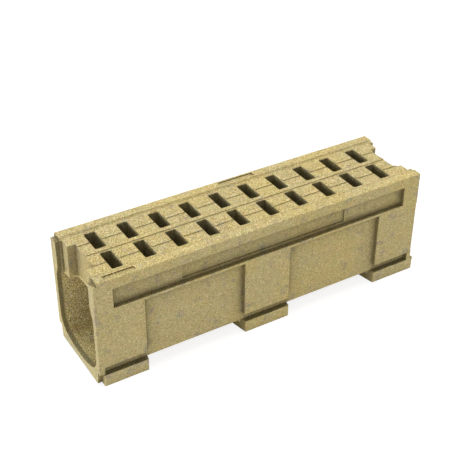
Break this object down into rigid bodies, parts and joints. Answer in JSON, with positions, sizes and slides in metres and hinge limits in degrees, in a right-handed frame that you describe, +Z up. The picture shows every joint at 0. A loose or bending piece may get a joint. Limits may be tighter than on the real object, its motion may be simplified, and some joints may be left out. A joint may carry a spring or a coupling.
{
  "type": "slot drainage channel",
  "caption": "One-piece polymer-concrete slot drainage channel with two rows of inlet slots, ribbed walking surface, U-shaped water way and a socket-and-spigot joint",
  "frame": {"origin": "centre of the bounding box at the underside of the feet", "axes": "+X runs along the channel from the socket end to the spigot end, +Y across it, +Z up to the walking surface"},
  "size_m": [1.0046, 0.253, 0.325],
  "materials": {
    "polymer_concrete": "fine sand-speckled cast surface"
  },
  "bodies": {
    "root": {"channel_body": "polymer_concrete"}
  },
  "joints": []
}
